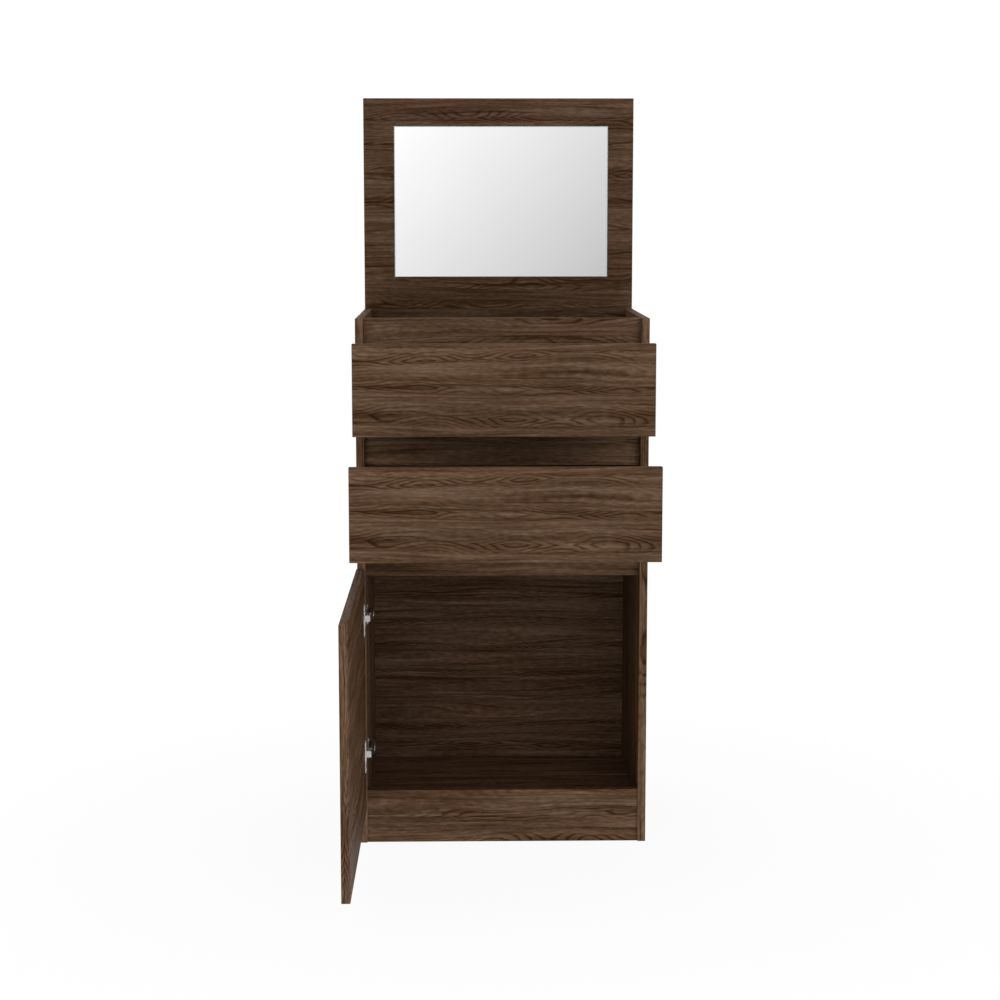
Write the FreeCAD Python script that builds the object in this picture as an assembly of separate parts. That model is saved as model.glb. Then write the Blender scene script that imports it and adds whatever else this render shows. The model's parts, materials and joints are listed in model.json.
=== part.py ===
import FreeCAD, Part
import math
import os

# Flip-top vanity cabinet: a mirror lid over a tray, two roller-slide drawers and a door on cup hinges.
# Millimetres, +X to the right, -Y to the front, +Z up. The origin is the centre of the plinth's foot.
# The solids stand in the shown pose: lid up, both drawers pulled out, door open.

os.makedirs("parts", exist_ok=True)
V = FreeCAD.Vector
X_AXIS = V(1, 0, 0)
Z_AXIS = V(0, 0, 1)

# Carcass
cabinet_width = 540.0
cabinet_depth = 400.0
cabinet_height = 988.0
board = 15.0
back_thickness = 3.0
plinth_height = 100.0
plinth_recess = 5.0
floor_top = 62.0
rail_recess = 20.0

# Fronts: overlay boards with a finger gap over each, and rails behind the gaps
front_reveal = 1.0
front_height = 165.0
front_gap = 3.0
finger_gap = 37.5
rail_overlap = 32.5
door_finger_gap = 58.0
door_rail_overlap = 17.0
door_plinth_overlap = 38.0
edge_break = 0.8

# Shown pose: travel that each drawer still has, and the angles that door and lid stand open
upper_travel_spare = 153.0
lower_travel_spare = 12.0
door_open_angle = 90.25
lid_open_angle = 90.0

# Lid and mirror
lid_gap = 0.5
lid_overhang = 1.5
mirror_width = 428.0
mirror_length = 300.0
mirror_glass_thickness = 3.0
mirror_arris = 1.5
mirror_rear_margin = 64.5
mirror_shift = 5.0
tape_thickness = 1.0
tape_width = 25.0
tape_inset = 20.0
tape_count = 3

# Drawer boxes
box_back_space = 50.0
box_side_height = 100.0
box_side_thickness = 12.0
box_rise = 10.0
bottom_thickness = 3.0
groove_rise = 10.0
groove_depth = 6.0
groove_play = 0.2

# Roller slides
runner_space = 12.5
runner_sheet = 1.2
runner_back_space = 50.0
runner_setback = 3.0
runner_foot_width = 13.0
flange_reach = 10.6
roller_radius = 7.0
roller_inset = 10.0
roll_gap = 0.3
slide_gap = 0.5
slide_overlap = 70.0
axle_radius = 2.5
axle_play = 0.05
axle_head_radius = 3.8
axle_head = 1.0
axle_side_play = 0.3
stop_tab_height = 4.0
runner_screw_first = 70.0
runner_screw_last = 300.0

# Door hinges
hinge_drop = 92.5
hinge_rise = 112.0
pin_inset = 6.8
pin_depth = 5.7
pin_radius = 1.2
pin_play = 0.05
pin_end_gap = 0.1
cup_radius = 17.5
cup_depth = 11.5
cup_wall = 1.0
cup_rim = 3.0
flange_thickness = 1.0
flange_ring = 1.5
cup_screw_spacing = 48.0
cup_screw_offset = 6.0
cup_ear_radius = 7.0
knuckle_radius = 2.0
knuckle_length = 8.0
hook_width = 11.6
arm_sheet = 1.6
arm_lift = 7.0
arm_width = 13.0
arm_wall = 1.2
arm_height = 6.0
arm_length = 72.0
arm_start = 10.0
arm_nose = 14.0
plate_sheet = 2.0
plate_play = 0.2
plate_length = 46.0
plate_wing_width = 14.0
plate_screw_spacing = 32.0
plate_screw_setback = 37.0
plate_end = 6.0
plate_corner = 4.0

# Lid hinges
lid_hinge_inset = 100.0
lid_axis_back = 4.0
lid_axis_drop = 5.4
leaf_width = 50.0
leaf_sheet = 1.5
leaf_reach = 16.0
lid_leaf_margin = 1.0
barrel_radius = 3.5
barrel_middle = 24.0
barrel_gap = 0.3
lid_pin_radius = 1.5
stop_tail = 12.0
stop_gap = 0.3

# Screws, shown by their heads
screw_head_radius = 3.4
screw_head = 1.1
screw_edge = 5.0

# Planes that the pieces share
front_y = -(plinth_recess + board / 2)
back_y = front_y + cabinet_depth
sides_back_y = back_y - back_thickness
outer_x = cabinet_width / 2
inner_x = outer_x - board
rail_y = front_y + rail_recess
back_rail_y = sides_back_y - board
front_back_y = front_y - front_gap
front_face_y = front_back_y - board
front_width = cabinet_width - 2 * front_reveal
box_length = cabinet_depth - box_back_space
slide_travel = box_length - slide_overlap
upper_front_bottom = cabinet_height - finger_gap - front_height
lower_front_bottom = upper_front_bottom - finger_gap - front_height
rail_height = finger_gap + rail_overlap
top_rail_bottom = cabinet_height - rail_height
middle_rail_bottom = upper_front_bottom - rail_height
door_rail_height = door_finger_gap + door_rail_overlap
door_rail_bottom = lower_front_bottom - door_rail_height
door_top = lower_front_bottom - door_finger_gap
door_bottom = plinth_height - door_plinth_overlap
floor_front_y = front_y + plinth_recess + board


def save(name, shape):
    """Write one piece, or one group of like pieces, to its own file."""
    if isinstance(shape, list):
        shape = Part.makeCompound(shape)
    shape.exportStep("parts/" + name + ".step")


def box(x0, x1, y0, y1, z0, z1):
    return Part.makeBox(x1 - x0, y1 - y0, z1 - z0, V(x0, y0, z0))


def rod(radius, start, end):
    """A round bar between two points."""
    return Part.makeCylinder(radius, (end - start).Length, start, end - start)


def tube(outer, inner, start, end):
    return rod(outer, start, end).cut(rod(inner, start, end))


def mirrored(shape):
    """The same piece on the other hand of the cabinet."""
    return shape.mirror(V(0, 0, 0), X_AXIS)


def moved(shape, shift):
    copy = shape.copy()
    copy.translate(shift)
    return copy


def turned(shape, point, axis, angle):
    copy = shape.copy()
    copy.rotate(point, axis, angle)
    return copy


def prism(points, vector):
    """A flat outline, given as points, drawn out along a vector."""
    outline = Part.makePolygon(points + [points[0]])
    return Part.Face(outline).extrude(vector)


def board_between(x0, x1, y0, y1, z0, z1):
    """A board with its banded edges just broken."""
    plain = box(x0, x1, y0, y1, z0, z1)
    return plain.makeChamfer(edge_break, plain.Edges)


def screw(seat, direction):
    """The pan head of a screw that is driven along the direction and seats on a face."""
    way = V(direction).normalize()
    return rod(screw_head_radius, seat - way * screw_head, seat)


def cross_rail(y0, z0, z1):
    """An upright rail between the sides."""
    return box(-inner_x, inner_x, y0, y0 + board, z0, z1)


def cross_panel(y0, y1, top):
    """A level panel between the sides."""
    return box(-inner_x, inner_x, y0, y1, top - board, top)


left_side = board_between(-outer_x, -inner_x, front_y, sides_back_y, 0.0, cabinet_height)
save("left_side_panel", left_side)
save("right_side_panel", mirrored(left_side))
save("back_panel", box(-outer_x, outer_x, sides_back_y, back_y, 0.0, cabinet_height))
save("plinth_rail", cross_rail(front_y + plinth_recess, 0.0, plinth_height))
save("door_front_rail", cross_rail(rail_y, door_rail_bottom, lower_front_bottom))
save("middle_front_rail", cross_rail(rail_y, middle_rail_bottom, upper_front_bottom))
save("top_front_rail", cross_rail(rail_y, top_rail_bottom, cabinet_height))
save("top_back_rail", cross_rail(back_rail_y, top_rail_bottom, cabinet_height))
save("floor_panel", cross_panel(floor_front_y, sides_back_y, floor_top))
save("tray_panel", cross_panel(rail_y + board, back_rail_y, top_rail_bottom + board))


# Roller slides. Each drawer hangs on a flange that rolls over the cabinet's front rollers, while its own
# rear rollers run inside the cabinet runner's channel.
def slide_levels(box_bottom):
    """Levels of one slide: the track and roof of its channel, the drawer's flange and both roller axes."""
    track = box_bottom - slide_gap
    rear_axis = track + roll_gap + roller_radius
    roof = rear_axis + roller_radius + slide_gap
    flange = roof + runner_sheet + slide_gap
    front_axis = flange - roll_gap - roller_radius
    return {"track": track, "rear_axis": rear_axis, "roof": roof, "flange": flange, "front_axis": front_axis}


# Distances from the side panel's inner face towards the drawer
rear_roller_near = runner_sheet + screw_head + slide_gap + axle_side_play
drawer_web_near = runner_space - runner_sheet
rear_roller_far = drawer_web_near - axle_side_play
front_roller_near = runner_sheet + axle_side_play
front_roller_far = front_roller_near + rear_roller_far - rear_roller_near

runner_front_y = front_y + runner_setback
runner_back_y = runner_front_y + cabinet_depth - runner_back_space
front_roller_y = runner_front_y + roller_inset
box_back_y = front_back_y + box_length
rear_roller_y = box_back_y - roller_inset


def across(distance):
    """X of a point on the right-hand slide, measured from the side panel's inner face."""
    return inner_x - distance


def riveted_axle(tip, y, z):
    """An axle from the side panel along X, with a head that keeps the roller on."""
    bar = rod(axle_radius, V(inner_x, y, z), V(across(tip), y, z))
    head = rod(axle_head_radius, V(across(tip), y, z), V(across(tip + axle_head), y, z))
    return bar.fuse(head)


def roller(near, far, y, z):
    start = V(across(near), y, z)
    end = V(across(far), y, z)
    return tube(roller_radius, axle_radius + axle_play, end, start)


def cabinet_runner(box_bottom):
    """Right-hand channel on the side panel: web, track, cut-back roof, stop tab and front axle."""
    level = slide_levels(box_bottom)
    track_z = level["track"]
    roof_z = level["roof"]
    roof_start_y = front_roller_y + roller_radius + runner_setback
    web = box(across(runner_sheet), inner_x, runner_front_y, runner_back_y,
              track_z - runner_sheet, roof_z + runner_sheet)
    track = box(across(flange_reach), inner_x, runner_front_y, runner_back_y, track_z - runner_sheet, track_z)
    roof = box(across(flange_reach), inner_x, roof_start_y, runner_back_y, roof_z, roof_z + runner_sheet)
    tab_drop = level["rear_axis"] - track_z - stop_tab_height
    tab_back_y = rear_roller_y - slide_travel - math.sqrt(roller_radius ** 2 - tab_drop ** 2) - roll_gap
    tab = box(across(flange_reach), across(rear_roller_near), tab_back_y - runner_sheet, tab_back_y,
              track_z - runner_sheet, track_z + stop_tab_height)
    axle = riveted_axle(front_roller_far + axle_side_play, front_roller_y, level["front_axis"])
    runner = web.fuse([track, roof, tab, axle]).removeSplitter()
    screws = [screw(V(across(runner_sheet), y, (track_z + roof_z) / 2), X_AXIS)
              for y in (runner_front_y + runner_screw_first, runner_front_y + runner_screw_last)]
    front_roller = roller(front_roller_near, front_roller_far, front_roller_y, level["front_axis"])
    return runner, screws, front_roller


def drawer_runner(box_bottom):
    """Right-hand angle on the drawer: web, foot under the side, rolling flange and rear axle."""
    level = slide_levels(box_bottom)
    flange_z = level["flange"]
    start_y = front_back_y + groove_play
    web = box(across(runner_space), across(drawer_web_near), start_y, box_back_y,
              box_bottom - runner_sheet, flange_z + runner_sheet)
    foot = box(across(runner_space + runner_foot_width), across(drawer_web_near), start_y, box_back_y,
               box_bottom - runner_sheet, box_bottom)
    flange = box(across(runner_space), across(front_roller_near), start_y, box_back_y,
                 flange_z, flange_z + runner_sheet)
    axle = rod(axle_radius, V(across(runner_space), rear_roller_y, level["rear_axis"]),
               V(across(rear_roller_near - axle_side_play), rear_roller_y, level["rear_axis"]))
    runner = web.fuse([foot, flange, axle]).removeSplitter()
    rear_roller = roller(rear_roller_near, rear_roller_far, rear_roller_y, level["rear_axis"])
    return runner, rear_roller


def drawer_box(front_bottom):
    """Boards of one drawer, shut: front, right side, back and bottom."""
    side_bottom = front_bottom + box_rise
    side_top = side_bottom + box_side_height
    outer = inner_x - runner_space
    inner = outer - box_side_thickness
    groove_z = side_bottom + groove_rise
    bottom_half = inner + groove_depth - groove_play
    front = board_between(-front_width / 2, front_width / 2, front_face_y, front_back_y,
                          front_bottom, front_bottom + front_height)
    side = box(inner, outer, front_back_y, box_back_y, side_bottom, side_top)
    groove = box(-inner - groove_depth, inner + groove_depth, front_back_y - groove_depth, box_back_y,
                 groove_z - groove_play, groove_z + bottom_thickness + groove_play)
    bottom = box(-bottom_half, bottom_half, front_back_y - groove_depth + groove_play, box_back_y,
                 groove_z, groove_z + bottom_thickness)
    back = box(-inner, inner, box_back_y - box_side_thickness, box_back_y,
               groove_z + bottom_thickness, side_top)
    return front.cut(groove), side.cut(groove), back, bottom


runner_screws = []
for name, front_bottom, travel_spare in (("upper", upper_front_bottom, upper_travel_spare),
                                         ("lower", lower_front_bottom, lower_travel_spare)):
    box_bottom = front_bottom + box_rise
    pull_out = V(0, travel_spare - slide_travel, 0)
    front, side, back, bottom = drawer_box(front_bottom)
    fixed_runner, fixed_screws, front_roller = cabinet_runner(box_bottom)
    sliding_runner, rear_roller = drawer_runner(box_bottom)
    runner_screws += fixed_screws + [mirrored(piece) for piece in fixed_screws]
    save(name + "_right_cabinet_runner", fixed_runner)
    save(name + "_left_cabinet_runner", mirrored(fixed_runner))
    save(name + "_front_rollers", [front_roller, mirrored(front_roller)])
    sliding = {
        "drawer_front": front,
        "drawer_right_side": side,
        "drawer_left_side": mirrored(side),
        "drawer_back": back,
        "drawer_bottom": bottom,
        "right_drawer_runner": sliding_runner,
        "left_drawer_runner": mirrored(sliding_runner),
        "rear_rollers": Part.makeCompound([rear_roller, mirrored(rear_roller)]),
    }
    for part, shape in sliding.items():
        save(name + "_" + part, moved(shape, pull_out))
save("runner_screws", runner_screws)


# Door hinges. The cup is bored into the door, its pin stands near the door's edge, and the arm hooks out of
# the cup and round the front edge of the side panel to its mounting plate. All are drawn with the door shut.
hinge_edge_x = -front_width / 2
pin_x = hinge_edge_x + pin_inset
pin_y = front_back_y - pin_depth
cup_x = hinge_edge_x + cup_rim + cup_radius
cup_floor_y = front_back_y - cup_depth
flange_y = front_back_y + flange_thickness
arm_near_x = -inner_x + arm_lift
arm_far_x = arm_near_x + arm_sheet
arm_top_x = arm_near_x + arm_height
arm_roof_x = arm_top_x - arm_wall


def door_swing(shape):
    return turned(shape, V(pin_x, pin_y, 0), Z_AXIS, -door_open_angle)


def hinge_cup(z):
    """Cup with its flange and two ears."""
    centre = V(cup_x, front_back_y, z)
    floor = V(cup_x, cup_floor_y, z)
    shell = rod(cup_radius, floor, centre)
    ring = rod(cup_radius + flange_ring, centre, V(cup_x, flange_y, z))
    ears = []
    ear_x = cup_x + cup_screw_offset
    for way in (-1, 1):
        ear_z = z + way * cup_screw_spacing / 2
        ears.append(rod(cup_ear_radius, V(ear_x, front_back_y, ear_z), V(ear_x, flange_y, ear_z)))
    bridge = box(ear_x - cup_ear_radius, ear_x + cup_ear_radius, front_back_y, flange_y,
                 z - cup_screw_spacing / 2, z + cup_screw_spacing / 2)
    hollow = rod(cup_radius - cup_wall, floor + V(0, cup_wall, 0), V(cup_x, flange_y, z))
    return shell.fuse([ring, bridge] + ears).removeSplitter().cut(hollow)


def hinge_pin(z):
    """Pin across the cup, from wall to wall."""
    offset = cup_x - pin_x
    half = math.sqrt((cup_radius - cup_wall) ** 2 - (offset + pin_radius) ** 2) - pin_end_gap
    return rod(pin_radius, V(pin_x, pin_y, z - half), V(pin_x, pin_y, z + half))


def cup_screws(z):
    x = cup_x + cup_screw_offset
    return [screw(V(x, flange_y, z + way * cup_screw_spacing / 2), V(0, -1, 0)) for way in (-1, 1)]


def hinge_arm(z):
    """Arm: sleeve on the pin, a hook out of the cup, and a channel over the mounting plate."""
    low = z - arm_width / 2
    high = z + arm_width / 2
    hook_low = z - hook_width / 2
    hook_high = z + hook_width / 2
    pin = V(pin_x, pin_y, z)
    sleeve = rod(knuckle_radius, pin - V(0, 0, knuckle_length / 2), pin + V(0, 0, knuckle_length / 2))
    reach = box(pin_x, arm_far_x, pin_y - arm_sheet / 2, pin_y + arm_sheet / 2, hook_low, hook_high)
    arm_y = front_y + arm_start
    strap = box(arm_near_x, arm_far_x, pin_y - arm_sheet / 2, arm_y + arm_wall, hook_low, hook_high)
    outline = [
        V(arm_near_x, arm_y, low),
        V(arm_near_x, arm_y + arm_length, low),
        V(arm_top_x, arm_y + arm_length, low),
        V(arm_top_x, arm_y + arm_nose, low),
        V(arm_far_x, arm_y, low),
    ]
    channel = prism(outline, V(0, 0, arm_width))
    pocket = box(arm_near_x, arm_roof_x, arm_y + arm_nose, arm_y + arm_length - arm_wall,
                 low + arm_wall, high - arm_wall)
    bore = rod(pin_radius + pin_play, V(pin_x, pin_y, hook_low), V(pin_x, pin_y, hook_high))
    return sleeve.fuse([reach, strap, channel.cut(pocket)]).removeSplitter().cut(bore)


def hinge_plate(z):
    """Mounting plate: a body under the arm's channel and a wing with cut corners that takes the screws."""
    start_y = front_y + arm_start + arm_nose + plate_play
    half = arm_width / 2 - arm_wall - plate_play
    body = box(-inner_x, arm_roof_x, start_y, start_y + plate_length, z - half, z + half)
    wing_y = front_y + plate_screw_setback
    reach = plate_screw_spacing / 2 + plate_end
    wing = box(-inner_x, -inner_x + plate_sheet, wing_y - plate_wing_width / 2, wing_y + plate_wing_width / 2,
               z - reach, z + reach)
    corners = [edge for edge in wing.Edges if edge.BoundBox.XLength > plate_sheet / 2]
    return body.fuse(wing.makeChamfer(plate_corner, corners)).removeSplitter()


def plate_screws(z):
    y = front_y + plate_screw_setback
    x = -inner_x + plate_sheet
    return [screw(V(x, y, z + way * plate_screw_spacing / 2), V(-1, 0, 0)) for way in (-1, 1)]


def arm_screw(z):
    """The screw that clamps the arm on its mounting plate."""
    y = front_y + arm_start + arm_nose + plate_length / 2
    return screw(V(arm_top_x, y, z), V(-1, 0, 0))


door = board_between(hinge_edge_x, -hinge_edge_x, front_face_y, front_back_y, door_bottom, door_top)
hinge_cups = []
hinge_pins = []
door_screws = []
mount_screws = []
for name, z in (("upper", door_top - hinge_drop), ("lower", door_bottom + hinge_rise)):
    door = door.cut(rod(cup_radius, V(cup_x, cup_floor_y, z), V(cup_x, front_back_y, z)))
    door_screws += [door_swing(piece) for piece in cup_screws(z)]
    mount_screws += plate_screws(z) + [arm_screw(z)]
    hinge_cups.append(door_swing(hinge_cup(z)))
    hinge_pins.append(door_swing(hinge_pin(z)))
    save(name + "_hinge_arm", hinge_arm(z))
    save(name + "_hinge_plate", hinge_plate(z))
save("door_panel", door_swing(door))
save("door_hinge_cups", hinge_cups)
save("door_hinge_pins", hinge_pins)
save("door_hinge_screws", door_screws)
save("hinge_mount_screws", mount_screws)


# Lid on two rear hinges whose tails stop it upright. All are drawn with the lid shut.
lid_under = cabinet_height + lid_gap
lid_top = lid_under + board
axis_y = back_y + lid_axis_back
axis_z = cabinet_height - lid_axis_drop


def lid_swing(shape):
    return turned(shape, V(0, axis_y, axis_z), X_AXIS, -lid_open_angle)


def round_bar(radius, x0, x1):
    """A round bar on the lid's axis."""
    return rod(radius, V(x0, axis_y, axis_z), V(x1, axis_y, axis_z))


def back_leaf(x):
    """Leaf on the cabinet's back, with the two outer barrels and the pin that is riveted in them."""
    half = leaf_width / 2
    middle = barrel_middle / 2 + barrel_gap
    clear = barrel_radius + barrel_gap
    plate = box(x - half, x + half, back_y, back_y + leaf_sheet, axis_z - leaf_reach, axis_z)
    notch = box(x - middle, x + middle, back_y, back_y + leaf_sheet, axis_z - clear, axis_z)
    ends = [round_bar(barrel_radius, x - half, x - middle), round_bar(barrel_radius, x + middle, x + half)]
    pin = round_bar(lid_pin_radius, x - half, x + half)
    return plate.cut(notch).fuse(ends + [pin]).removeSplitter()


def lid_leaf(x):
    """Leaf on the lid's rear edge with the middle barrel and the tail that stops the lid."""
    half = leaf_width / 2
    middle = barrel_middle / 2
    top = lid_top - lid_leaf_margin
    plate = box(x - half, x + half, back_y, back_y + leaf_sheet, lid_under, top)
    tongue = box(x - middle, x + middle, back_y, back_y + leaf_sheet, axis_z, lid_under)
    rise = stop_gap + leaf_sheet - lid_axis_back
    tail = box(x - middle, x + middle, axis_y, axis_y + stop_tail, axis_z + rise, axis_z + rise + leaf_sheet)
    barrel = round_bar(barrel_radius, x - middle, x + middle)
    hole = round_bar(lid_pin_radius + pin_play, x - middle, x + middle)
    return plate.fuse([tongue, tail, barrel]).removeSplitter().cut(hole)


lid = board_between(-outer_x, outer_x, front_face_y - lid_overhang, back_y, lid_under, lid_top)
lid_screws = []
leaf_screws = []
for name, x in (("left", lid_hinge_inset - outer_x), ("right", outer_x - lid_hinge_inset)):
    save(name + "_back_leaf", back_leaf(x))
    save(name + "_lid_leaf", lid_swing(lid_leaf(x)))
    for way in (-1, 1):
        screw_x = x + way * (leaf_width / 2 - screw_edge)
        back_seat = V(screw_x, back_y + leaf_sheet, axis_z - leaf_reach + screw_edge)
        lid_seat = V(screw_x, back_y + leaf_sheet, (lid_under + lid_top) / 2)
        leaf_screws.append(screw(back_seat, V(0, -1, 0)))
        lid_screws.append(lid_swing(screw(lid_seat, V(0, -1, 0))))

mirror_back_y = back_y - mirror_rear_margin
mirror_front_y = mirror_back_y - mirror_length
mirror_x0 = mirror_shift - mirror_width / 2
mirror_x1 = mirror_shift + mirror_width / 2
tape_under = lid_under - tape_thickness
mirror_face = tape_under - mirror_glass_thickness
mirror_glass = box(mirror_x0, mirror_x1, mirror_front_y, mirror_back_y, mirror_face, tape_under)
face_edges = [edge for edge in mirror_glass.Edges if edge.BoundBox.ZMax < mirror_face + mirror_arris]
mirror_glass = mirror_glass.makeChamfer(mirror_arris, face_edges)
tapes = []
tape_step = (mirror_length - 2 * tape_inset - tape_width) / (tape_count - 1)
for index in range(tape_count):
    tape_y = mirror_front_y + tape_inset + index * tape_step
    tapes.append(box(mirror_x0 + tape_inset, mirror_x1 - tape_inset, tape_y, tape_y + tape_width,
                     tape_under, lid_under))
save("lid_panel", lid_swing(lid))
save("mirror_glass", lid_swing(mirror_glass))
save("mirror_tape", [lid_swing(tape) for tape in tapes])
save("lid_hinge_screws", lid_screws)
save("back_leaf_screws", leaf_screws)
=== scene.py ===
import json
import math

import bmesh
import bpy
from mathutils import Matrix, Vector


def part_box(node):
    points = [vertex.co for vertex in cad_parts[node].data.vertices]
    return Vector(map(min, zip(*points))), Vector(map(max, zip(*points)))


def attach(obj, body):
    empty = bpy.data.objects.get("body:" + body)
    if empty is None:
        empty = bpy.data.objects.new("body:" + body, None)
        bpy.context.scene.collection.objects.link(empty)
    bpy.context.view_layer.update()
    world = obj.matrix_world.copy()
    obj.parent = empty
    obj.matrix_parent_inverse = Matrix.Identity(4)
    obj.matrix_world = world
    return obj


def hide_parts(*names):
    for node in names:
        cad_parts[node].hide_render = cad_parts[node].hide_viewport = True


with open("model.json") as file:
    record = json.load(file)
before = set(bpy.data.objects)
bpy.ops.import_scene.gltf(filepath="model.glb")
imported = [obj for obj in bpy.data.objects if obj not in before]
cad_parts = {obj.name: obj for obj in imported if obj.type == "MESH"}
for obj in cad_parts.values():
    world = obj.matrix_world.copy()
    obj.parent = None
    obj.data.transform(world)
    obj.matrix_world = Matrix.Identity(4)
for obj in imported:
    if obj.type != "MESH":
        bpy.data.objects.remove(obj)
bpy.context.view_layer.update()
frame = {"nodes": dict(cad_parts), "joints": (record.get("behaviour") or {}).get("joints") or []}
nodes = frame["nodes"]
joints = {joint["name"]: joint for joint in frame["joints"]}

# Screws and nails, in metres as everything here
screw_head_radius = 0.0034
screw_head_height = 0.0011
screw_head_dome = 0.0007
screw_segments = 24
cross_width = 0.0009
cross_length = 0.0038
cross_depth = 0.0006
cross_taper = 0.18
screw_turn_step = 0.65
adjuster_setback = 0.052
adjuster_turn = 0.4
nail_head_radius = 0.0024
nail_head_height = 0.0006
nail_head_taper = 0.9
nail_segments = 12
nail_edge_margin = 0.0075
nail_spacing = 0.118
tiny = 1e-6

# Walnut print: rows of pointed figure with straight grain between them
row_spacing = 0.054
row_wander = 0.050
crown_low = 0.22
crown_high = 0.78
crown_rise = 0.040
ring_width = 0.0056
ring_slope = 0.9
ring_rag = 0.9
ring_steps = [(0.0, 0.58), (0.54, 0.53), (0.83, 0.06), (1.0, 0.56)]
figure_full = 0.06
figure_end = 0.28
figure_rest = 0.12
figure_faint = 0.35
core_end = 0.18

# Layers of the print: length along the grain, width across it, detail and roughness of the noise
wander_grain = (0.50, row_spacing, 1.0, 0.5)
crown_grain = (0.15, 0.09, 0.6, 0.4)
streak_grain = (0.20, 0.0088, 3.0, 0.55)
line_grain = (0.26, 0.0040, 1.0, 0.5)
fibre_grain = (0.016, 0.0030, 1.0, 0.5)
band_grain = (0.55, 0.045, 2.0, 0.5)
patch_grain = (0.16, 0.028, 1.0, 0.5)
pore_grain = (0.011, 0.0006, 0.0, 0.5)

# How much each layer lightens the print, or darkens it where below zero
base_tone = 0.58
ring_weight = 1.15
core_weight = -0.20
streak_weight = 1.05
line_weight = -0.32
fibre_weight = 0.55
band_weight = 0.55
red_weight = 0.36
pore_weight = 0.35
pore_sink = -0.8

# Walnut laminate on the boards
laminate_steps = [(0.0, (45, 28, 13)), (0.30, (66, 46, 29)), (0.58, (90, 68, 51)), (1.0, (124, 101, 82))]
laminate_red = (255, 226, 214)
laminate_pore = (36, 23, 15)
# Edge colour and share: the laminate's edges are lightened partly as wear and partly as a painted highlight
laminate_worn_highlit_edge = (118, 92, 73)
laminate_edge_radius = 0.0016
laminate_edge_wear_and_highlight = 0.25
laminate_gloss = 0.04
laminate_relief = 0.0002
laminate_relief_strength = 0.35
hardboard_steps = [(0.40, (92, 68, 48)), (0.68, (122, 94, 69)), (0.95, (148, 119, 91))]
hardboard_cloud_share = 0.35

# Metals and plastics
fine_grain = 6
roughness_swing = 0.06
# Edge radius and share for plain finishes: edges take the spot colour, partly as wear and partly as a
# painted highlight
edge_wear_and_highlight_radius = 0.0008
edge_wear_and_highlight_share = 0.4
grain_relief = 0.0001
grain_relief_strength = 0.3

# Mirror
silver_tints = [(247, 247, 247), (250, 250, 250)]
ground_tint = (206, 214, 210)
ground_roughness = 0.5

# Camera, fitted to the edges of the photograph
camera_place = (-0.074851, -3.856453, 1.176848)
camera_yaw = 0.018233
camera_pitch = 0.135422
camera_roll = -0.000359
camera_lens = 75.5033
sensor_width = 36.0

# Studio
floor_reach = 9.0
floor_drop = 0.0004
floor_paper = 0.92
floor_glow = 0.93
floor_glow_start = 0.35
floor_glow_end = 1.2
floor_bounce = 0.5
dome_strength = 0.55
dome_front_strength = 0.75
card_level = -0.134
card_fall_right = -2.94
card_rise_up = 2.87
card_start = -0.96
card_full = -0.985
softbox_place = (0.3, -2.6, 1.0)
softbox_aim = (0.0, 0.0, 0.65)
softbox_width = 3.0
softbox_height = 1.9
softbox_power = 28.0
white = (1, 1, 1, 1)


def display(red, green, blue):
    """A colour as it shows on screen, from 0 to 255."""
    linear = []
    for level in (red, green, blue):
        share = level / 255.0
        linear.append(share / 12.92 if share <= 0.04045 else ((share + 0.055) / 1.055) ** 2.4)
    return (*linear, 1.0)


def shade(tree, kind, inputs=None, **settings):
    made = tree.nodes.new("ShaderNode" + kind)
    for name, value in settings.items():
        setattr(made, name, value)
    for name, value in (inputs or {}).items():
        if isinstance(value, bpy.types.NodeSocket):
            tree.links.new(value, made.inputs[name])
        else:
            made.inputs[name].default_value = value
    return made


def reckon(tree, operation, first, second=0.0, third=0.0):
    return shade(tree, "Math", {0: first, 1: second, 2: third}, operation=operation).outputs[0]


def add_share(tree, value, weight, base):
    return reckon(tree, "MULTIPLY_ADD", value, weight, base)


def swing(tree, noise):
    """Noise as a swing about nought."""
    return reckon(tree, "SUBTRACT", noise, 0.5)


def spread(tree, value, low, high, to_low=0.0, to_high=1.0):
    made = shade(tree, "MapRange", {"Value": value, "From Min": low, "From Max": high,
                                    "To Min": to_low, "To Max": to_high})
    return made.outputs["Result"]


def blend_colour(tree, share, first, second, mode="MIX"):
    made = shade(tree, "Mix", {0: share, 6: first, 7: second}, data_type="RGBA", blend_type=mode)
    return made.outputs[2]


def grain_noise(tree, place, length, width, detail, roughness):
    scaled = shade(tree, "Mapping", {"Vector": place, "Scale": (1 / length, 1 / width, 1 / width)})
    noise = shade(tree, "TexNoise", {"Vector": scaled.outputs[0], "Scale": 1.0, "Detail": detail,
                                     "Roughness": roughness})
    return noise.outputs[0]


def colour_steps(tree, value, steps):
    ramp = shade(tree, "ValToRGB", {"Fac": value})
    stops = ramp.color_ramp.elements
    while len(stops) < len(steps):
        stops.new(0.5)
    for stop, (place, colour) in zip(stops, steps):
        stop.position = place
        stop.color = colour
    return ramp.outputs["Color"]


def shown_steps(tree, value, steps):
    return colour_steps(tree, value, [(place, display(*colour)) for place, colour in steps])


def finish(name):
    material = bpy.data.materials.new(name)
    material.use_nodes = True
    tree = material.node_tree
    tree.nodes.clear()
    shader = shade(tree, "BsdfPrincipled")
    output = shade(tree, "OutputMaterial")
    tree.links.new(shader.outputs[0], output.inputs["Surface"])
    return material, tree, shader


def relief(tree, shader, height, distance, strength):
    bump = shade(tree, "Bump", {"Height": height, "Distance": distance, "Strength": strength})
    tree.links.new(bump.outputs[0], shader.inputs["Normal"])


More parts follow.
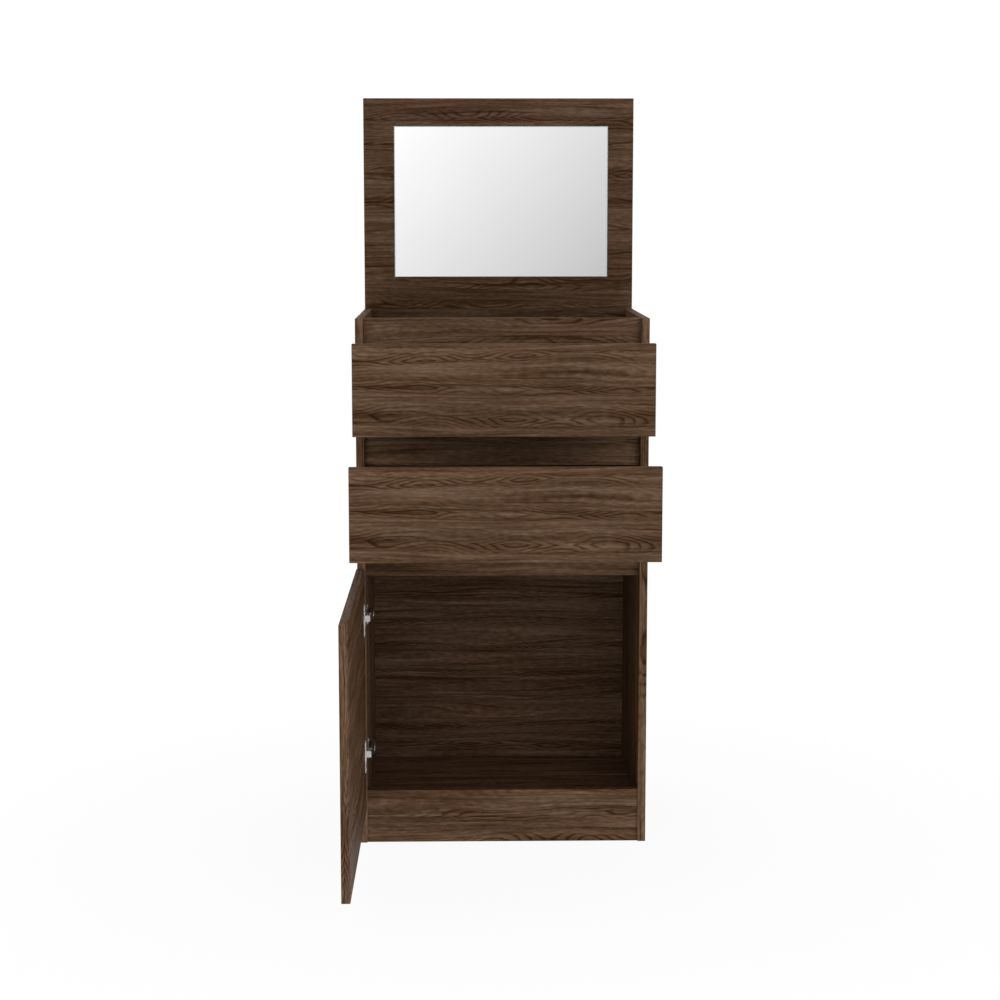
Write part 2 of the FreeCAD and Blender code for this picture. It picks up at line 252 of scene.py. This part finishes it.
def worn_and_highlit_edge(tree, radius):
    # Edge mask from a rounded normal, used partly as wear and partly as a painted highlight along the edges
    rounded = shade(tree, "Bevel", {"Radius": radius}, samples=4)
    flat = shade(tree, "NewGeometry")
    turn = shade(tree, "VectorMath", {0: rounded.outputs[0], 1: flat.outputs["Normal"]},
                 operation="DOT_PRODUCT")
    return spread(tree, turn.outputs["Value"], 0.995, 0.85)


def walnut_print():
    """Figure of the laminate: x runs along the grain, y across it in the board's face."""
    group = bpy.data.node_groups.new("walnut_print", "ShaderNodeTree")
    group.interface.new_socket("Grain", in_out="INPUT", socket_type="NodeSocketVector")
    group.interface.new_socket("Color", in_out="OUTPUT", socket_type="NodeSocketColor")
    group.interface.new_socket("Roughness", in_out="OUTPUT", socket_type="NodeSocketFloat")
    group.interface.new_socket("Height", in_out="OUTPUT", socket_type="NodeSocketFloat")
    place = group.nodes.new("NodeGroupInput").outputs["Grain"]
    axes = shade(group, "SeparateXYZ", {0: place}).outputs
    wander = grain_noise(group, place, *wander_grain)
    across = add_share(group, swing(group, wander), row_wander, axes[1])
    bent = shade(group, "CombineXYZ", {0: axes[0], 1: across, 2: axes[2]}).outputs[0]
    streaks = grain_noise(group, bent, *streak_grain)
    lines = grain_noise(group, bent, *line_grain)
    fibres = grain_noise(group, bent, *fibre_grain)
    bands = grain_noise(group, place, *band_grain)
    patches = grain_noise(group, place, *patch_grain)
    pores = grain_noise(group, place, *pore_grain)
    crowns = grain_noise(group, place, *crown_grain)

    # Rings that point along the row, strongest in its middle
    from_row = reckon(group, "PINGPONG", across, row_spacing / 2)
    depth = spread(group, crowns, crown_low, crown_high, 0.0, crown_rise)
    chevron = add_share(group, from_row, ring_slope, depth)
    chevron = add_share(group, swing(group, streaks), ring_width * ring_rag, chevron)
    ring = reckon(group, "FRACT", reckon(group, "DIVIDE", chevron, ring_width))
    late_wood = colour_steps(group, ring, [(step, (grey, grey, grey, 1)) for step, grey in ring_steps])
    figured = spread(group, from_row, row_spacing * figure_full, row_spacing * figure_end, 1.0, figure_rest)
    figured = reckon(group, "MULTIPLY", figured, spread(group, patches, 0.36, 0.54, figure_faint, 1.0))
    core = spread(group, from_row, 0.0, row_spacing * core_end, 1.0, 0.0)
    core = reckon(group, "MULTIPLY", core, spread(group, patches, 0.42, 0.62))

    tone_and_painted_light = reckon(group, "MULTIPLY", swing(group, late_wood), figured)
    tone_and_painted_light = add_share(group, tone_and_painted_light, ring_weight, base_tone)
    tone_and_painted_light = add_share(group, core, core_weight, tone_and_painted_light)
    tone_and_painted_light = add_share(group, swing(group, streaks), streak_weight, tone_and_painted_light)
    tone_and_painted_light = add_share(group, spread(group, lines, 0.56, 0.74), line_weight, tone_and_painted_light)
    tone_and_painted_light = add_share(group, swing(group, fibres), fibre_weight, tone_and_painted_light)
    tone_and_painted_light = add_share(group, swing(group, bands), band_weight, tone_and_painted_light)
    colour = shown_steps(group, tone_and_painted_light, laminate_steps)
    red = spread(group, patches, 0.45, 0.72, 0.0, red_weight)
    colour = blend_colour(group, red, colour, display(*laminate_red), "MULTIPLY")
    pitted = spread(group, pores, 0.66, 0.74)
    colour = blend_colour(group, reckon(group, "MULTIPLY", pitted, pore_weight), colour,
                          display(*laminate_pore))
    out = group.nodes.new("NodeGroupOutput")
    group.links.new(colour, out.inputs["Color"])
    group.links.new(spread(group, tone_and_painted_light, 0.2, 0.8, 0.62, 0.5), out.inputs["Roughness"])
    group.links.new(add_share(group, pitted, pore_sink, fibres), out.inputs["Height"])
    return group


walnut_figure = walnut_print()


def hardboard_colour(tree, place):
    flecks = shade(tree, "TexNoise", {"Vector": place, "Scale": 420.0, "Detail": 3.0, "Roughness": 0.7})
    clouds = shade(tree, "TexNoise", {"Vector": place, "Scale": 6.0, "Detail": 2.0})
    mixed = add_share(tree, clouds.outputs[0], hardboard_cloud_share, flecks.outputs[0])
    return shown_steps(tree, mixed, hardboard_steps)


def walnut(name, grain, across, shift, tone_and_painted_light, bare):
    """Walnut laminate on a board, with its grain turned along the edge band on the board's ends.

    bare is the axis and side of a face that is left as plain hardboard, or None.
    """
    material, tree, shader = finish(name)
    seat = shade(tree, "TexCoord")
    axes = shade(tree, "SeparateXYZ", {0: seat.outputs["Object"]}).outputs
    facing = shade(tree, "SeparateXYZ", {0: seat.outputs["Normal"]}).outputs
    through = "XYZ".replace(grain, "").replace(across, "")
    face = shade(tree, "CombineXYZ", {0: axes[grain], 1: axes[across], 2: axes[through]})
    end = shade(tree, "CombineXYZ", {0: axes[across], 1: axes[through], 2: axes[grain]})
    on_end = reckon(tree, "GREATER_THAN", reckon(tree, "ABSOLUTE", facing[grain]), 0.9)
    chosen = shade(tree, "Mix", {0: on_end, 4: face.outputs[0], 5: end.outputs[0]}, data_type="VECTOR")
    moved = shade(tree, "VectorMath", {0: chosen.outputs[1], 1: shift}, operation="ADD")
    wood = shade(tree, "Group", node_tree=walnut_figure)
    tree.links.new(moved.outputs[0], wood.inputs["Grain"])
    # Edges blended to a lighter colour: partly wear, partly a painted highlight
    wear_and_highlight = reckon(tree, "MULTIPLY", worn_and_highlit_edge(tree, laminate_edge_radius), laminate_edge_wear_and_highlight)
    colour = blend_colour(tree, wear_and_highlight, wood.outputs["Color"], display(*laminate_worn_highlit_edge))
    # Painted light: the colour is scaled board by board, brighter where a board gets little light and
    # darker where it gets much, so the boards are lit and shaded copies of one laminate
    colour = shade(tree, "VectorMath", {0: colour, "Scale": tone_and_painted_light}, operation="SCALE").outputs[0]
    if bare:
        axis, side = bare
        on_bare = reckon(tree, "GREATER_THAN", reckon(tree, "MULTIPLY", facing[axis], side), 0.5)
        colour = blend_colour(tree, on_bare, colour, hardboard_colour(tree, seat.outputs["Object"]))
    tree.links.new(colour, shader.inputs["Base Color"])
    tree.links.new(wood.outputs["Roughness"], shader.inputs["Roughness"])
    shader.inputs["Specular IOR Level"].default_value = laminate_gloss
    relief(tree, shader, wood.outputs["Height"], laminate_relief, laminate_relief_strength)
    return material


def grainy(name, colour, spots, scale, amount, roughness, metal=0.0, brushed=(1, 1, 1), bump=grain_relief):
    """A plain finish with spots, fine grain and edges that take the spot colour, partly wear and partly a
    painted highlight; brushed stretches them along an axis.
    """
    material, tree, shader = finish(name)
    seat = shade(tree, "TexCoord")
    scaled = shade(tree, "Mapping", {"Vector": seat.outputs["Object"], "Scale": brushed}).outputs[0]
    noise = shade(tree, "TexNoise", {"Vector": scaled, "Scale": scale, "Detail": 4.0, "Roughness": 0.6})
    fine = shade(tree, "TexNoise", {"Vector": scaled, "Scale": scale * fine_grain, "Detail": 2.0})
    share = reckon(tree, "MULTIPLY", spread(tree, noise.outputs[0], 0.35, 0.7), amount)
    mixed = blend_colour(tree, share, display(*colour), display(*spots))
    wear_and_highlight = reckon(tree, "MULTIPLY", worn_and_highlit_edge(tree, edge_wear_and_highlight_radius), edge_wear_and_highlight_share)
    mixed = blend_colour(tree, wear_and_highlight, mixed, display(*spots))
    tree.links.new(mixed, shader.inputs["Base Color"])
    smooth = roughness - roughness_swing
    rough = roughness + roughness_swing
    tree.links.new(spread(tree, fine.outputs[0], 0.3, 0.7, smooth, rough), shader.inputs["Roughness"])
    shader.inputs["Metallic"].default_value = metal
    relief(tree, shader, fine.outputs[0], bump, grain_relief_strength)
    return material


def dress(material, *names):
    for name in names:
        slots = nodes[name].data.materials
        slots.clear()
        slots.append(material)


# Boards: finish, axis along the grain, axis across it, shift of the print, painted light scale (each
# board's copy of the laminate brightened or darkened for the light it gets), bare face, nodes
for name, grain, across, shift, tone_and_painted_light, bare, boards in (
    ("upper_front_walnut", "X", "Z", (18.02, 1.396, 0.1575), 1.0, None, ["upper_drawer_front"]),
    ("lower_front_walnut", "X", "Z", (18.02, 1.5985, 0.2985), 0.92, None, ["lower_drawer_front"]),
    ("lid_walnut", "X", "Z", (19.64, 18.074, -0.3974), 0.88, None, ["lid_panel"]),
    ("top_rail_walnut", "X", "Z", (3.15, -0.559, -0.0075), 1.28, None, ["top_front_rail"]),
    ("back_rail_walnut", "X", "Z", (5.2, 1.3, 0.0), 0.7, None, ["top_back_rail"]),
    ("tray_walnut", "X", "Y", (5.9, 1.6, 0.0), 1.0, None, ["tray_panel"]),
    ("middle_rail_walnut", "X", "Z", (13.87, 0.101, -0.0075), 1.04, None,
     ["middle_front_rail", "door_front_rail"]),
    ("plinth_walnut", "X", "Z", (12.4, 2.7, 0.0), 1.05, None, ["plinth_rail"]),
    ("floor_walnut", "X", "Y", (18.4, 2.7, 0.0), 1.5, None, ["floor_panel"]),
    ("back_walnut", "X", "Z", (15.3, 6.4, 0.0), 0.9, ("Y", 1), ["back_panel"]),
    ("side_walnut", "Z", "Y", (4.4, 1.7, 2.2), 1.32, None, ["left_side_panel", "right_side_panel"]),
    ("door_walnut", "Y", "Z", (7.9, 4.1, 0.6), 0.98, None, ["door_panel"]),
    ("drawer_side_walnut", "Y", "Z", (3.3, 8.2, 1.9), 1.0, None,
     ["upper_drawer_left_side", "upper_drawer_right_side",
      "lower_drawer_left_side", "lower_drawer_right_side"]),
    ("drawer_back_walnut", "X", "Z", (6.6, 2.2, 7.9), 1.0, None,
     ["upper_drawer_back", "lower_drawer_back"]),
    ("drawer_bottom_walnut", "X", "Y", (8.6, 5.2, 3.9), 1.0, ("Z", -1),
     ["upper_drawer_bottom", "lower_drawer_bottom"]),
):
    dress(walnut(name, grain, across, shift, tone_and_painted_light, bare), *boards)

# Finish, colour, spots, scale and share of the spots, roughness, metal, brushing
epoxy = grainy("white_epoxy", (226, 224, 219), (240, 239, 235), 260, 0.6, 0.42, bump=0.00008)
nylon = grainy("roller_nylon", (232, 231, 226), (214, 212, 205), 180, 0.5, 0.5)
nickel = grainy("hinge_nickel", (240, 238, 233), (250, 249, 246), 90, 0.6, 0.36, 0.4, (1, 1, 6))
arm_nickel = grainy("arm_nickel", (238, 237, 233), (250, 249, 247), 90, 0.6, 0.30, 1.0, (1, 6, 1))
# Hinge plates get a darker zinc: partly the plate's own finish, partly painted shade for where they sit in
# shadow inside the cabinet
plate_zinc_painted_shade = grainy("plate_zinc_painted_shade", (150, 149, 146), (178, 177, 173), 160, 0.6, 0.36, 1.0)
leaf_steel = grainy("leaf_steel", (176, 175, 172), (208, 207, 204), 120, 0.6, 0.34, 1.0, (4, 1, 1))
zinc = grainy("zinc_fastener", (188, 187, 180), (214, 213, 206), 400, 0.7, 0.32, 1.0)
foam = grainy("foam_tape", (224, 223, 218), (198, 197, 192), 900, 0.6, 0.8)
for level in ("upper", "lower"):
    for side in ("left", "right"):
        dress(epoxy, f"{level}_{side}_cabinet_runner", f"{level}_{side}_drawer_runner")
    dress(nylon, level + "_front_rollers", level + "_rear_rollers")
    dress(arm_nickel, level + "_hinge_arm")
    dress(plate_zinc_painted_shade, level + "_hinge_plate")
dress(nickel, "door_hinge_cups", "door_hinge_pins")
dress(leaf_steel, "left_back_leaf", "right_back_leaf", "left_lid_leaf", "right_lid_leaf")
dress(foam, "mirror_tape")


def mirror_silver():
    """Silvered face, with the ground edge of the glass round it."""
    material, tree, shader = finish("mirror_silver")
    seat = shade(tree, "TexCoord")
    haze = shade(tree, "TexNoise", {"Vector": seat.outputs["Object"], "Scale": 7.0, "Detail": 3.0})
    dim, bright = silver_tints
    tint = blend_colour(tree, haze.outputs[0], display(*dim), display(*bright))
    facing = shade(tree, "SeparateXYZ", {0: seat.outputs["Normal"]}).outputs["Y"]
    ground = spread(tree, facing, -0.98, -0.90)
    tint = blend_colour(tree, ground, tint, display(*ground_tint))
    tree.links.new(tint, shader.inputs["Base Color"])
    polished = spread(tree, haze.outputs[0], 0.3, 0.7, 0.01, 0.03)
    tree.links.new(add_share(tree, ground, ground_roughness, polished), shader.inputs["Roughness"])
    shader.inputs["Metallic"].default_value = 1.0
    return material


dress(mirror_silver(), "mirror_glass")


def kept_shape(builder, name):
    shape = bpy.data.meshes.new(name)
    builder.to_mesh(shape)
    builder.free()
    return shape


def piece_from(builder, name, body, material):
    piece = bpy.data.objects.new(name, kept_shape(builder, name))
    bpy.context.scene.collection.objects.link(piece)
    piece.data.materials.append(material)
    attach(piece, body)
    return piece


def top_rim(builder, height):
    return [edge for edge in builder.edges if all(vert.co.z > height - tiny for vert in edge.verts)]


def screw_head_shape():
    head = bmesh.new()
    bmesh.ops.create_cone(head, cap_ends=True, cap_tris=False, segments=screw_segments,
                          radius1=screw_head_radius, radius2=screw_head_radius, depth=screw_head_height)
    bmesh.ops.translate(head, vec=(0, 0, screw_head_height / 2), verts=head.verts)
    bmesh.ops.bevel(head, geom=top_rim(head, screw_head_height), offset=screw_head_dome, segments=3,
                    profile=0.5, affect="EDGES", material=-1)
    top = screw_head_height - tiny

    def on_top(face):
        return face.normal.z > 0.99 and face.calc_center_median().z > top

    for half in (cross_width / 2, cross_length / 2):
        for normal in ((1, 0, 0), (0, 1, 0)):
            for side in (-1, 1):
                cap = [face for face in head.faces if on_top(face)]
                cut = set(cap)
                for face in cap:
                    cut.update(face.edges)
                    cut.update(face.verts)
                bmesh.ops.bisect_plane(head, geom=list(cut), plane_co=Vector(normal) * half * side,
                                       plane_no=normal)
    cross = []
    for face in head.faces:
        spot = face.calc_center_median()
        narrow, wide = sorted((abs(spot.x), abs(spot.y)))
        if on_top(face) and narrow < cross_width / 2 and wide < cross_length / 2:
            cross.append(face)
    bmesh.ops.inset_region(head, faces=cross, thickness=cross_width * cross_taper, depth=-cross_depth,
                           use_even_offset=True)
    return kept_shape(head, "screw_head_shape")


def nail_head_shape():
    head = bmesh.new()
    bmesh.ops.create_cone(head, cap_ends=True, cap_tris=False, segments=nail_segments,
                          radius1=nail_head_radius, radius2=nail_head_radius * nail_head_taper,
                          depth=nail_head_height)
    bmesh.ops.translate(head, vec=(0, 0, nail_head_height / 2), verts=head.verts)
    bmesh.ops.bevel(head, geom=top_rim(head, nail_head_height), offset=nail_head_height / 2, segments=2,
                    profile=0.5, affect="EDGES", material=-1)
    return kept_shape(head, "nail_head_shape")


def set_at(many, shape, seat, outward, turn):
    before = len(many.verts)
    many.from_mesh(shape)
    many.verts.ensure_lookup_table()
    place = Matrix.Translation(seat) @ Vector(outward).to_track_quat("Z", "Y").to_matrix().to_4x4()
    bmesh.ops.transform(many, matrix=place @ Matrix.Rotation(turn, 4, "Z"), verts=many.verts[before:])


def solids_of(node):
    """Corners of each separate solid in a CAD node."""
    copy = bmesh.new()
    copy.from_mesh(nodes[node].data)
    bmesh.ops.remove_doubles(copy, verts=copy.verts, dist=tiny)
    waiting = set(copy.verts)
    found = []
    while waiting:
        open_ends = [waiting.pop()]
        solid = []
        while open_ends:
            vert = open_ends.pop()
            solid.append(vert.co.copy())
            for edge in vert.link_edges:
                other = edge.other_vert(vert)
                if other in waiting:
                    waiting.remove(other)
                    open_ends.append(other)
        found.append(solid)
    copy.free()
    return found


screw_shape = screw_head_shape()
nail_shape = nail_head_shape()


def screws_over(node, body, outward):
    """Cross-head screws in place of a node's plain heads.

    Heads on the right face inwards where outward is X.
    """
    many = bmesh.new()
    for count, solid in enumerate(solids_of(node)):
        middle = sum(solid, Vector()) / len(solid)
        aim = Vector(outward)
        if abs(aim.x) > 0.9 and middle.x > 0:
            aim = -aim
        seat = middle + aim * (min(corner.dot(aim) for corner in solid) - middle.dot(aim))
        set_at(many, screw_shape, seat, aim, count * screw_turn_step)
    piece = piece_from(many, node + "_heads", body, zinc)
    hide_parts(node)


door_turn = Matrix.Rotation(math.radians(joints["door_hinge"]["range_deg"][0]), 3, "Z")
screws_over("runner_screws", "cabinet", (1, 0, 0))
screws_over("hinge_mount_screws", "cabinet", (1, 0, 0))
screws_over("back_leaf_screws", "cabinet", (0, 1, 0))
screws_over("door_hinge_screws", "door", door_turn @ Vector((0, 1, 0)))
screws_over("lid_hinge_screws", "lid", (0, 0, -1))


def hinge_adjusters():
    """The second screw on each hinge arm, which sets the door's overlay."""
    many = bmesh.new()
    for arm in ("upper_hinge_arm", "lower_hinge_arm"):
        low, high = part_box(arm)
        seat = (high.x, high.y - adjuster_setback, (low.z + high.z) / 2)
        set_at(many, screw_shape, seat, (1, 0, 0), adjuster_turn)
    piece_from(many, "hinge_adjusters", "cabinet", zinc)


def back_nails():
    low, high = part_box("back_panel")
    many = bmesh.new()
    left = low.x + nail_edge_margin
    right = high.x - nail_edge_margin
    bottom = low.z + nail_edge_margin * 4
    top = high.z - nail_edge_margin * 2
    steps = round((top - bottom) / nail_spacing)
    for step in range(steps + 1):
        height = bottom + (top - bottom) * step / steps
        for x in (left, right):
            set_at(many, nail_shape, (x, high.y, height), (0, 1, 0), step)
    piece_from(many, "back_nails", "cabinet", zinc)


hinge_adjusters()
back_nails()


def studio_floor():
    builder = bmesh.new()
    bmesh.ops.create_grid(builder, x_segments=1, y_segments=1, size=floor_reach)
    bmesh.ops.translate(builder, vec=(0, 0, -floor_drop), verts=builder.verts)
    floor = bpy.data.objects.new("studio_floor", kept_shape(builder, "studio_floor"))
    bpy.context.scene.collection.objects.link(floor)
    material = bpy.data.materials.new("studio_floor")
    material.use_nodes = True
    tree = material.node_tree
    tree.nodes.clear()
    seat = shade(tree, "TexCoord")
    reach = shade(tree, "VectorMath", {0: seat.outputs["Object"]}, operation="LENGTH").outputs["Value"]
    path = shade(tree, "LightPath").outputs
    seen = reckon(tree, "MAXIMUM", path["Is Camera Ray"], path["Is Glossy Ray"])
    seen = reckon(tree, "MAXIMUM", seen, path["Is Transmission Ray"])
    shown = spread(tree, reach, floor_glow_start, floor_glow_end, floor_glow, 1.0)
    glowing = reckon(tree, "MAXIMUM", reckon(tree, "MULTIPLY", seen, shown), floor_bounce)
    paper = shade(tree, "BsdfDiffuse", {"Color": (floor_paper, floor_paper, floor_paper, 1)})
    glow = shade(tree, "Emission", {"Color": white, "Strength": 1.0})
    mixed = shade(tree, "MixShader", {0: glowing, 1: paper.outputs[0], 2: glow.outputs[0]})
    output = shade(tree, "OutputMaterial")
    tree.links.new(mixed.outputs[0], output.inputs["Surface"])
    floor.data.materials.append(material)


def studio_world():
    """White to the camera, a soft dome for the light, and a shaded card for the mirror to show."""
    world = bpy.data.worlds.new("studio")
    bpy.context.scene.world = world
    world.use_nodes = True
    tree = world.node_tree
    tree.nodes.clear()
    aim = shade(tree, "TexCoord").outputs["Generated"]
    axes = shade(tree, "SeparateXYZ", {0: aim}).outputs
    path = shade(tree, "LightPath").outputs
    front = spread(tree, axes["Y"], 0.0, -1.0, dome_strength, dome_front_strength)
    dome = shade(tree, "Background", {"Color": white, "Strength": front})
    falling = add_share(tree, axes["X"], card_fall_right, card_level)
    falling = add_share(tree, axes["Z"], card_rise_up, falling)
    facing = spread(tree, axes["Y"], card_start, card_full)
    card = add_share(tree, facing, falling, 1.0)
    reflected = shade(tree, "Background", {"Color": white, "Strength": card})
    backdrop = shade(tree, "Background", {"Color": white, "Strength": 1.0})
    lit = shade(tree, "MixShader", {0: path["Is Glossy Ray"], 1: dome.outputs[0], 2: reflected.outputs[0]})
    seen = reckon(tree, "MAXIMUM", path["Is Camera Ray"], path["Is Transmission Ray"])
    shown = shade(tree, "MixShader", {0: seen, 1: lit.outputs[0], 2: backdrop.outputs[0]})
    output = shade(tree, "OutputWorld")
    tree.links.new(shown.outputs[0], output.inputs["Surface"])


def studio_softbox():
    data = bpy.data.lights.new("studio_softbox", "AREA")
    data.shape = "RECTANGLE"
    data.size = softbox_width
    data.size_y = softbox_height
    data.energy = softbox_power
    softbox = bpy.data.objects.new("studio_softbox", data)
    bpy.context.scene.collection.objects.link(softbox)
    aim = Vector(softbox_aim) - Vector(softbox_place)
    turn = aim.to_track_quat("-Z", "Y").to_matrix().to_4x4()
    softbox.matrix_world = Matrix.Translation(softbox_place) @ turn
    softbox.visible_camera = False
    softbox.visible_glossy = False


def studio_camera():
    data = bpy.data.cameras.new("studio_camera")
    data.lens = camera_lens
    data.sensor_width = sensor_width
    data.dof.use_dof = False
    camera = bpy.data.objects.new("studio_camera", data)
    bpy.context.scene.collection.objects.link(camera)
    turn = Matrix.Rotation(-camera_yaw, 4, "Z") @ Matrix.Rotation(math.pi / 2 - camera_pitch, 4, "X")
    turn = turn @ Matrix.Rotation(camera_roll, 4, "Z")
    camera.matrix_world = Matrix.Translation(camera_place) @ turn
    bpy.context.scene.camera = camera


studio_floor()
studio_world()
studio_softbox()
studio_camera()
bpy.context.scene.view_settings.view_transform = "Standard"
